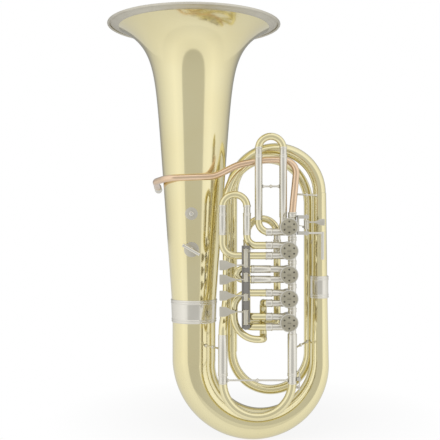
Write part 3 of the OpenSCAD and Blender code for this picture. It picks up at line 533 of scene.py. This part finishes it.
def makeSlide(name, plan):
    left, right = Vector(plan["left"]), Vector(plan["right"])
    r, leg, down = plan["radius"], plan["leg"], Vector((0, 0, -plan["rise"]))
    bow, legs = bmesh.new(), bmesh.new()
    sweepTube(bow, halfBowRoute(left, right, plan["rise"]), r, sides=tubeSides)
    finishPiece(name, bow, "lacqueredBrass", plan["body"], plan["nodes"])
    for end, tip in zip((left, right), plan["legs"]):  # a collar over the solder joint, then the drawn leg
        n = abs(tip - end.z)
        collar = [(r - 1, -4), (r + 0.4, -4), (r + 0.7, -3.6), (r + 0.7, -0.6), (r + 0.5, 0)]
        turnProfile(legs, collar + [(leg, 0.8), (leg, n), (leg - 1, n)], end, down, closed=True)
    finishPiece(name.replace("Bow", "Legs"), legs, "nickelSilver", plan["body"])


for name, plan in slidePlans.items():
    makeSlide(name, plan)

thirdSlidePlan = {"line": [atPort(2, 1, x=18), atPort(2, 1, x=-49.5), atPort(2, -1, x=-49.5),
                           atPort(2, -1, x=18)],
                  "bends": [12, 12], "radius": 8, "body": "third_slide", "nodes": ["third_slide"]}
makeTubePiece("thirdSlideBow", thirdSlidePlan)
print("slides and loops")

# Valve caps: a ridged rim, a flat face with a ring of pin holes, and a slotted boss in the middle; the holes
# and the slot are painted shade, drawn further down
capPlan = {"x": valvePlan["x"], "front": -122.5, "thick": 4, "radius": 21, "boss": 6.0, "ridges": 60,
           "ridge": (0.6, 1.1), "ridgeEnds": 1.4, "holes": 6, "holeAt": 12.6, "holeSize": 2.0,
           "slotHalf": (4.2, 0.5), "rimSteps": 72, "faceSteps": 64, "holeSteps": 14}
toFront = (0, -1, 0)


def makeCaps(plan):
    rims, faces = bmesh.new(), bmesh.new()
    x, y, r, t, boss = plan["x"], plan["front"], plan["radius"], plan["thick"], plan["boss"]
    rim = [(r - 6, 0), (r - 0.4, 0), (r, 0.4), (r, t - 0.6), (r - 0.6, t), (r - 2.4, t), (r - 2.8, t - 0.5),
           (r - 6, t - 0.5)]
    plate = [(0, t - 1.2), (r - 2.6, t - 1.2), (r - 2.6, t - 0.6), (r - 3.2, t - 0.25), (boss + 1.2, t - 0.1),
             (boss + 0.6, t + 0.1), (boss, t + 0.8), (boss - 1.4, t + 1.0), (0, t + 1.05)]
    deep, wide = plan["ridge"]
    ridge = Matrix.Diagonal((deep * mm, (t - plan["ridgeEnds"]) * mm, wide * mm, 1))
    for z in valveRow:
        turnProfile(rims, rim, (x, y, z), toFront, steps=plan["rimSteps"], closed=True)
        for i in range(plan["ridges"]):  # ridges to grip the cap by
            a = math.tau * i / plan["ridges"]
            at = Vector((x + r * math.cos(a), y - t / 2, z + r * math.sin(a))) * mm
            place = Matrix.Translation(at) @ Matrix.Rotation(-a, 4, "Y") @ ridge
            bmesh.ops.create_cube(rims, size=1, matrix=place)
        turnProfile(faces, plate, (x, y, z), toFront, steps=plan["faceSteps"])
    finishPiece("valveCapRims", rims, "nickelSilver", "horn", ["valve_caps"])
    finishPiece("valveCapFaces", faces, "capNickel", "horn")


# The pin holes and the slot across each boss: near-black discs and a thin bar, painted shade where the
# recesses are
def makeCapHoleShade(plan):
    bm = bmesh.new()
    x, y, ring, size = plan["x"], plan["front"] - plan["thick"] + 0.05, plan["holeAt"], plan["holeSize"]
    hole = [(0, 0.45), (size * 0.6, 0.5), (size, 0.7), (size, 0)]
    long, wide = plan["slotHalf"]
    for z in valveRow:
        for i in range(plan["holes"]):
            a = math.tau * (i + 0.5) / plan["holes"]
            at = (x + ring * math.cos(a), y + 0.6, z + ring * math.sin(a))
            turnProfile(bm, hole, at, toFront, steps=plan["holeSteps"])
        softBlock(bm, (x - long, y - 1.1, z - wide), (x + long, y - 0.9, z + wide), 0.05, 1)
    finishPiece("valveCapHoleShade", bm, "holeShadePaint", "horn")


makeCaps(capPlan)
makeCapHoleShade(capPlan)

# Rings on the valve casings, behind the caps and at the back
ringPlan = {"x": valvePlan["x"], "radius": 20.0, "at": (-119.6, -80.0), "rise": 0.8, "wide": 2.0, "steps": 64}


def makeCasingRings(plan):
    bm = bmesh.new()
    r, w, e = plan["radius"], plan["wide"], plan["rise"]
    profile = [(r - 1, 0), (r + e * 0.6, 0.2), (r + e, w / 2), (r + e * 0.6, w - 0.2), (r - 1, w)]
    for z in valveRow:
        for y in plan["at"]:
            turnProfile(bm, profile, (plan["x"], y, z), (0, 1, 0), steps=plan["steps"], closed=True)
    finishPiece("casingRings", bm, "nickelSilver", "horn")


makeCasingRings(ringPlan)

# Collars where tubes enter the valve ports, where one valve meets the next, and where the leadpipe comes in
collarPlan = {"bead": 1.6, "rise": 0.7, "edge": 0.35, "rows": 40, "crease": 50,
              "port": {"radius": 8.75, "length": 16, "bore": 6, "x": 16},
              "ports": [(0, -1), (1, 1), (1, -1), (3, -1), (3, 1), (4, 1), (4, -1)],
              "between": {"radius": 9.6, "length": 9, "bore": 7},
              "leadpipe": {"radius": 9.6, "length": 12, "bore": 6, "z": 540}}


# A collar with a bead near each end, as a profile to turn
def collarProfile(collar, plan=collarPlan):
    radius, length, bore = collar["radius"], collar["length"], collar["bore"]
    bead = min(plan["bead"], length / 6)
    wall = []
    for i in range(plan["rows"] + 1):
        h = length * i / plan["rows"]
        near = min(h, length - h)
        lift = max(0.0, 1 - ((near - bead) / bead) ** 2)
        edge = plan["edge"] if near == 0 else 0
        wall.append((radius - edge + plan["rise"] * lift, h))
    return wall + [(bore, length), (bore, 0)]


def makePortFerrules(plan):
    bm = bmesh.new()
    port, between, leadpipe = plan["port"], plan["between"], plan["leadpipe"]
    for valve, side in plan["ports"]:
        turnProfile(bm, collarProfile(port), atPort(valve, side, x=port["x"]), (1, 0, 0), closed=True)
    for above, below in zip(valveRow, valveRow[1:]):
        low = (above + below) / 2 - between["length"] / 2
        turnProfile(bm, collarProfile(between), on("mainRight", low), closed=True)
    turnProfile(bm, collarProfile(leadpipe), on("mainRight", leadpipe["z"]), closed=True)
    finishPiece("portFerrules", bm, "nickelSilver", "horn", crease=plan["crease"])


makePortFerrules(collarPlan)
print("valves")

# Levers: a barrel on the rod, a slim arm out to the touch plate, and a crank behind to the link
leverPlan = {"barrel": 6.2, "bore": 2.05, "over": 5, "linkY": -57.5, "plateZ": [529, 430, 397, 360, 323],
             "thick": 2.5, "bevel": 0.7,
             "finger": {"rod": (-30, -118), "side": -1, "arm": 25, "plate": 36, "wide": 24},
             "thumb": {"rod": (109, -118), "side": 1, "arm": 18, "plate": 24, "wide": 16},
             # the plate's edge: share of its length, and share of its half width
             "spread": [(0, 0.27), (0.10, 0.32), (0.22, 0.38), (0.34, 0.53), (0.45, 0.72), (0.54, 0.87),
                        (0.64, 0.93), (0.8, 0.96)],
             # its rounded corners: share of its length, and how far inside the half width
             "corner": [(0.93, 0.4), (0.985, 0.7), (1.0, 2.2)]}


def makeLever(k, plan, kind):
    side, (x, y), arm = kind["side"], kind["rod"], kind["arm"]
    row, pz, linkY = valveRow[k], plan["plateZ"][k], plan["linkY"]
    low, high = min(row, pz) - plan["over"], max(row, pz) + plan["over"]
    b, n, bore = plan["barrel"], high - low, plan["bore"]
    bm = bmesh.new()
    barrel = [(bore, 0), (b - 0.4, 0), (b, 0.5), (b, 2.4), (b - 0.9, 3.0), (b - 0.9, n - 3.0), (b, n - 2.4),
              (b, n - 0.5), (b - 0.4, n), (bore, n)]
    turnProfile(bm, barrel, (x, y, low), steps=40, closed=True)
    reach = [(x + side * out, y, pz) for out in (4, 12, arm + 4)]
    sweepTube(bm, reach, [2.0, 1.9, 1.2], sides=24)
    softBlock(bm, (x - 2.5, y + 3, row - 2.6), (x + 2.5, linkY, row - 0.15), 0.6)
    crankPin = [(0, 0), (3.2, 0), (3.5, 0.4), (3.5, 2.05), (3.2, 2.45), (1.2, 2.45), (1.2, 5.0), (0.8, 5.2),
                (0, 5.2)]
    turnProfile(bm, crankPin, (x, linkY, row - 2.6), steps=32)
    finishPiece(f"lever{k + 1}", bm, "satinNickel", f"lever_{k + 1}", [f"lever_{k + 1}"])


# Touch plate: narrow at the arm, waisted, and spread at the finger end with rounded corners
def makeTouchPlate(k, plan, kind):
    side, (x, y), arm, long = kind["side"], kind["rod"], kind["arm"], kind["plate"]
    pz, w, t = plan["plateZ"][k], kind["wide"] / 2, plan["thick"]
    outline = [(u, v * w) for u, v in plan["spread"]] + [(u, w - inside) for u, inside in plan["corner"]]
    upper = [(x + side * (arm + long * u), pz + v) for u, v in outline]
    lower = [(px, 2 * pz - z) for px, z in reversed(upper)]
    bm = bmesh.new()
    face = bm.faces.new([bm.verts.new(Vector((px, y - t / 2, z)) * mm) for px, z in upper + lower])
    raised = bmesh.ops.extrude_face_region(bm, geom=[face])["geom"]
    top = [g for g in raised if isinstance(g, bmesh.types.BMVert)]
    bmesh.ops.translate(bm, vec=(0, t * mm, 0), verts=top)
    rim = [e for e in bm.edges if abs(e.verts[0].co.y - e.verts[1].co.y) < weldGap]
    bmesh.ops.bevel(bm, geom=rim, offset=plan["bevel"] * mm, affect="EDGES", segments=3,
                    profile=0.5, material=-1)
    finishPiece(f"touchPlate{k + 1}", bm, "satinNickel", f"lever_{k + 1}")


for k in range(valvePlan["count"]):
    leverKind = leverPlan["thumb" if k == 0 else "finger"]
    makeLever(k, leverPlan, leverKind)
    makeTouchPlate(k, leverPlan, leverKind)

# Stays: a rod with a small turned collar at each foot and, on all but short ones, a bead in the middle
stayPlans = {
    "bellStay": {"a": on("bell", 590), "ra": 73.4, "b": on("left", 590), "rb": 13},
    "firstSlideStay": {"a": on("firstLeft", 612), "ra": 8.95, "b": on("firstRight", 612), "rb": 8.95},
    "bellSlideStay": {"a": on("bell", 234), "ra": 52.5, "b": on("mainLeft", 234), "rb": 10.95},
    "innerSlideStay": {"a": on("mainRight", 234), "ra": 10.95, "b": on("inner", 234), "rb": 11.5},
    "branchStay": {"a": on("inner", 480), "ra": 11.5, "b": on("outer", 480), "rb": 18.2},
    "leadpipeStay": {"a": (82.5, -98.5, 594), "ra": 9, "b": on("outer", 594), "rb": 16.5},
}
mainStayPlan = {"a": on("mainLeft", 162), "ra": 10, "b": on("mainRight", 162), "rb": 10}
stayShape = {"radius": 2.5, "gap": 0.3, "foot": 4.0, "neck": 0.85, "short": 26, "steps": 32, "crease": 45}


def makeStay(bm, plan, shape):
    a, b = Vector(plan["a"]), Vector(plan["b"])
    ahead = (b - a).normalized()
    start, end = a + ahead * (plan["ra"] + shape["gap"]), b - ahead * (plan["rb"] + shape["gap"])
    n, r = (end - start).length, shape["radius"]
    foot, neck, mid = min(shape["foot"], n / 5), r * shape["neck"], n / 2
    left = [(0, 0), (r + 2.0, 0), (r + 2.0, 0.8), (r + 0.9, 1.4), (r + 1.0, 2.2), (r, foot), (neck, foot + 1)]
    if n >= shape["short"]:
        left += [(neck, mid - 3.4), (r + 0.6, mid - 2.8), (r + 0.3, mid - 2.2), (r + 1.5, mid - 1),
                 (r + 1.7, mid)]
    right = [(q, n - h) for q, h in reversed(left) if h < mid - leastStep]
    turnProfile(bm, left + right, start, ahead, steps=shape["steps"])


def makeStays(name, plans, body, node):
    bm = bmesh.new()
    for plan in plans:
        makeStay(bm, plan, stayShape)
    finishPiece(name, bm, "nickelSilver", body, [node], crease=stayShape["crease"])


makeStays("stays", stayPlans.values(), "horn", "stays")
makeStays("mainSlideStay", [mainStayPlan], "main_slide", "main_slide_stay")
print("levers and stays")

# Fittings on the bell: two round guard plates, the slanted socket for a music holder, and a strap stud
fittingPlan = {"x": -157, "low": 464, "high": 549, "lowSize": 18, "highSize": 15, "insets": (0.12, 0.55),
               "discSides": 56, "under": 0.25, "over": 1.5, "seat": 0.9, "out": 18,
               "socketHalf": (20, 0, -11.5)}


# Each disc is inset into rings and wrapped onto the bell, so its edge lies flat all round
def makeGuardPlates(plan):
    bm = bmesh.new()
    for z, size in ((plan["low"], plan["lowSize"]), (plan["high"], plan["highSize"])):
        place = Matrix.Translation(Vector((plan["x"], 0, z)) * mm) @ Matrix.Rotation(math.radians(90), 4, "X")
        made = bmesh.ops.create_circle(bm, cap_ends=True, segments=plan["discSides"], radius=size * mm,
                                       matrix=place)["verts"]
        for share in plan["insets"]:
            near = list({f for v in made if v.is_valid for f in v.link_faces})
            cap = [f for f in near if len(f.verts) > 4]
            bmesh.ops.inset_individual(bm, faces=cap, thickness=size * share * mm)
            made = [v for f in bm.faces if len(f.verts) > 4 for v in f.verts]
    raised = bmesh.ops.extrude_face_region(bm, geom=list(bm.faces))["geom"]
    top = {g for g in raised if isinstance(g, bmesh.types.BMVert)}
    for v in bm.verts:
        reach = bellRadius(v.co.z / mm) + (plan["over"] if v in top else plan["under"])
        off = v.co.x / mm - columns["bell"][0]
        v.co.y = -math.sqrt(max(reach * reach - off * off, 1)) * mm
    finishPiece("guardPlates", bm, "satinNickel", "horn", ["bell_fittings"])


def makeSocketAndStud(plan):
    bm = bmesh.new()
    x, low, high = plan["x"], plan["low"], plan["high"]
    half = Vector(plan["socketHalf"])
    n = 2 * half.length
    foot = Vector((x, -bellRadius(low) - plan["out"], low)) - half
    socket = [(2.5, 0), (4.1, 0), (4.5, 0.5), (4.5, 3), (4.0, 3.6), (4.0, n - 3.6), (4.5, n - 3),
              (4.5, n - 0.5), (4.1, n), (2.5, n)]
    turnProfile(bm, socket, foot, half, steps=40, closed=True)
    post = [(0, 0), (5.2, 0), (5.2, 0.8), (3.8, 1.8), (3.3, 4), (3.2, 14), (0, 14)]
    turnProfile(bm, post, (x, -bellRadius(low) - plan["seat"], low), toFront, steps=32)
    stud = [(0, 0), (5.0, 0), (5.0, 0.7), (3.2, 1.4), (2.6, 3.4), (3.0, 4.8), (4.0, 5.6), (4.0, 7.2),
            (3.2, 8.0), (0, 8.1)]
    turnProfile(bm, stud, (x, -bellRadius(high) - plan["seat"], high), toFront, steps=32)
    finishPiece("bellSocketAndStud", bm, "nickelSilver", "horn")


makeGuardPlates(fittingPlan)
makeSocketAndStud(fittingPlan)

# Water key: a slim lever on its barrel, a thumb pad above, a cup with a cork below, and a coiled spring
waterKeyPlan = {"x": 94.5, "y": -100, "z": 166, "seat": 146, "seatX": 90.3, "top": 187, "low": 139,
                "half": (1.2, 2.0), "coil": 2.9, "coilLength": 3.8, "coilPoints": 70, "coilTurn": 0.4,
                "wire": 0.35, "steps": 32}


def makeWaterKey(plan):
    x, y, z, steps = plan["x"], plan["y"], plan["z"], plan["steps"]
    seat, sideways, (thin, wide) = (plan["seatX"], y, plan["seat"]), (1, 0, 0), plan["half"]
    bm = bmesh.new()
    softBlock(bm, (x - thin, y - wide, plan["low"]), (x + thin, y + wide, plan["top"] - 3), 0.7)
    barrel = [(1.05, 0), (2.7, 0), (3, 0.4), (3, 1.6), (2.4, 2), (2.4, 6), (3, 6.4), (3, 7.6), (2.7, 8),
              (1.05, 8)]
    turnProfile(bm, barrel, (x, y - 4, z), (0, 1, 0), steps=steps, closed=True)
    pad = [(0, 0), (3.2, 0), (3.9, 0.6), (3.9, 1.4), (3.2, 2), (0, 2)]
    turnProfile(bm, pad, (x - thin, y, plan["top"] - 4), sideways, steps=steps)
    cup = [(0, 1.2), (3.4, 1.2), (3.4, 0.6), (4, 0.6), (4, 2.6), (3.2, 3.2), (0, 3.2)]
    turnProfile(bm, cup, seat, sideways, steps=steps)
    r, long, count, turn = plan["coil"], plan["coilLength"], plan["coilPoints"], plan["coilTurn"]
    coil = [(x + r * math.cos(i * turn), y - long / 2 + long * i / count, z + r * math.sin(i * turn))
            for i in range(count + 1)]
    sweepTube(bm, coil, plan["wire"], sides=8)
    finishPiece("waterKey", bm, "nickelSilver", "water_key", ["water_key"])
    bm = bmesh.new()
    cork = [(0, 0), (3.1, 0), (3.3, 0.3), (3.3, 1.2), (0, 1.2)]
    turnProfile(bm, cork, seat, sideways, steps=steps)
    finishPiece("waterKeyCork", bm, "cork", "water_key")


makeWaterKey(waterKeyPlan)

# CAD pieces whose shape is right take their finish here
nodeFinishes = {"nickelSilver": ["thumb_saddle", "lever_rod", "thumb_rod", "water_key_saddle"]
                + [f"{kind}_{k}" for kind in ("valve_casing", "link", "stop_arm") for k in range(1, 6)],
                "hingeSteel": ["lever_saddle"],
                "lacqueredBrass": [f"rotor_{k}" for k in range(1, 6)]}
for finish, names in nodeFinishes.items():
    for name in names:
        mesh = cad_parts[name].data
        mesh.materials.clear()
        mesh.materials.append(finishes[finish])
print("carried-over pieces finished")

# Stage: a pale floor that fades into a white background and keeps the tuba's shadow
stagePlan = {"floor": 4.5, "front": -0.3, "sink": 0.0005, "floorColor": (0.94, 0.94, 0.94),
             "floorRoughness": 0.9, "glow": 0.85, "centre": (0, 0.25, 0), "fade": (0.2, 0.55), "world": 0.55,
             "under": (-0.75, -0.1), "underLevel": 0.86, "floorTone": 0.5,
             # brightness of the room, from straight behind the camera (0) to straight ahead of it (1)
             "room": [(0.0, 0.66), (0.078, 0.66), (0.088, 1.05), (0.22, 1.13), (0.39, 1.03), (0.52, 0.95),
                      (0.66, 0.84), (0.8, 0.7), (0.88, 0.54), (0.95, 0.36), (1.0, 0.34)]}


# Room tone: what the metal sees in each direction; darker behind the camera, far behind the tuba, and below
def buildRoomTone(plan):
    group = bpy.data.node_groups.new("roomTone", "ShaderNodeTree")
    group.interface.new_socket("Direction", in_out="INPUT", socket_type="NodeSocketVector")
    group.interface.new_socket("Color", in_out="OUTPUT", socket_type="NodeSocketColor")
    given, out = group.nodes.new("NodeGroupInput"), group.nodes.new("NodeGroupOutput")
    split, lift, ramp = newNodes(group, "SeparateXYZ", "MapRange", "ValToRGB")
    under, dim = newNodes(group, "MapRange", "VectorMath")
    stops = ramp.color_ramp.elements
    while len(stops) < len(plan["room"]):
        stops.new(0.5)
    for stop, (place, level) in zip(stops, plan["room"]):
        stop.position, stop.color = place, (level, level, level, 1)
    lift.inputs["From Min"].default_value, lift.inputs["From Max"].default_value = -1, 1
    under.inputs["From Min"].default_value, under.inputs["From Max"].default_value = plan["under"]
    under.inputs["To Min"].default_value = plan["underLevel"]
    dim.operation = "SCALE"
    joinNodes(group, (given, "Direction", split, "Vector"), (split, "Y", lift, "Value"),
                     (split, "Z", under, "Value"), (lift, "Result", ramp, "Fac"), (ramp, "Color", dim, 0),
                     (under, "Result", dim, "Scale"), (dim, "Vector", out, "Color"))
    return group


roomTone = buildRoomTone(stagePlan)


# Floor finish: the eye sees it fade to white, and metal sees the room's tone in it
def makePaleFloor(plan):
    material = bpy.data.materials.new("paleFloor")
    material.use_nodes = True
    tree = material.node_tree
    shader = tree.nodes["Principled BSDF"]
    shader.inputs["Base Color"].default_value = (*plan["floorColor"], 1)
    shader.inputs["Roughness"].default_value = plan["floorRoughness"]
    path, spot = newNodes(tree, "LightPath", "NewGeometry")
    # the glow takes on part of the room's tone where metal looks at it, and is white to the eye
    back, tone, part, tint, glow = newNodes(tree, "VectorMath", "Group", "Math", "Mix", "Emission")
    back.operation, tone.node_tree, tint.data_type = "SCALE", roomTone, "RGBA"
    back.inputs["Scale"].default_value = -1
    tint.inputs["A"].default_value = (1, 1, 1, 1)
    part.operation, part.inputs[1].default_value = "MULTIPLY", plan["floorTone"]
    joinNodes(tree, (spot, "Incoming", back, 0), (back, "Vector", tone, "Direction"),
                    (tone, "Color", tint, "B"), (path, "Is Glossy Ray", part, 0), (part, 0, tint, "Factor"),
                    (tint, "Result", glow, "Color"))
    # the glow grows with the distance from the tuba, for the eye and for metal only
    away, fade, seen, share, mix = newNodes(tree, "VectorMath", "MapRange", "Math", "Math", "MixShader")
    seen.operation, seen.use_clamp, share.operation = "ADD", True, "MULTIPLY"
    away.operation = "DISTANCE"
    away.inputs[1].default_value = plan["centre"]
    fade.inputs["From Min"].default_value, fade.inputs["From Max"].default_value = plan["fade"]
    fade.inputs["To Min"].default_value = plan["glow"]
    joinNodes(tree, (spot, "Position", away, 0), (away, "Value", fade, "Value"),
                    (path, "Is Camera Ray", seen, 0), (path, "Is Glossy Ray", seen, 1), (seen, 0, share, 0),
                    (fade, "Result", share, 1), (share, 0, mix, "Fac"), (shader, "BSDF", mix, 1),
                    (glow, "Emission", mix, 2))
    tree.links.new(mix.outputs["Shader"], tree.nodes["Material Output"].inputs["Surface"])
    return material


def makeFloor(plan):
    bm = bmesh.new()
    bmesh.ops.create_grid(bm, x_segments=1, y_segments=1, size=plan["floor"])
    mesh = bpy.data.meshes.new("floor")
    bm.to_mesh(mesh)
    bm.free()
    mesh.materials.append(makePaleFloor(plan))
    floor = bpy.data.objects.new("floor", mesh)
    floor.location = (0, plan["front"] + plan["floor"], -plan["sink"])
    bpy.context.scene.collection.objects.link(floor)


# World: white to the eye, the room's tone to the metal, and a softer light on what is not metal
def makeWorld(plan):
    world = bpy.data.worlds.new("studio")
    bpy.context.scene.world = world
    world.use_nodes = True
    tree = world.node_tree
    back = tree.nodes["Background"]
    path, spot, tone, eye, soft = newNodes(tree, "LightPath", "TexCoord", "Group", "Mix", "Mix")
    tone.node_tree = roomTone
    eye.data_type, soft.data_type = "RGBA", "FLOAT"
    eye.inputs["B"].default_value = (1, 1, 1, 1)
    soft.inputs["A"].default_value, soft.inputs["B"].default_value = 1.0, plan["world"]
    joinNodes(tree, (spot, "Generated", tone, "Direction"), (tone, "Color", eye, "A"),
                    (path, "Is Camera Ray", eye, "Factor"), (path, "Is Diffuse Ray", soft, "Factor"),
                    (eye, "Result", back, "Color"), (soft, "Result", back, "Strength"))


# Soft boxes: they light the tuba but don't mirror in it, since the room's tone does
lampPlans = {
    "softboxLeft": {"at": (-2.2, -1.6, 1.3), "to": (-0.1, 0, 0.5), "size": (1.6, 2.6), "watts": 13.4},
    "softboxRight": {"at": (2.3, -1.2, 1.0), "to": (0, 0, 0.5), "size": (1.4, 2.4), "watts": 10.8},
    "softboxTop": {"at": (0, -0.6, 2.9), "to": (0, 0, 0.4), "size": (1.8, 1.8), "watts": 10.5},
}


def makeLamps(plans):
    for name, plan in plans.items():
        data = bpy.data.lights.new(name, "AREA")
        data.shape, data.size, data.size_y = "RECTANGLE", *plan["size"]
        data.energy = plan["watts"]
        lamp = bpy.data.objects.new(name, data)
        lamp.visible_glossy = False
        lamp.location = plan["at"]
        lamp.rotation_euler = (Vector(plan["to"]) - Vector(plan["at"])).to_track_quat("-Z", "Y").to_euler()
        bpy.context.scene.collection.objects.link(lamp)


makeFloor(stagePlan)
makeWorld(stagePlan)
makeLamps(lampPlans)
print("stage and light")
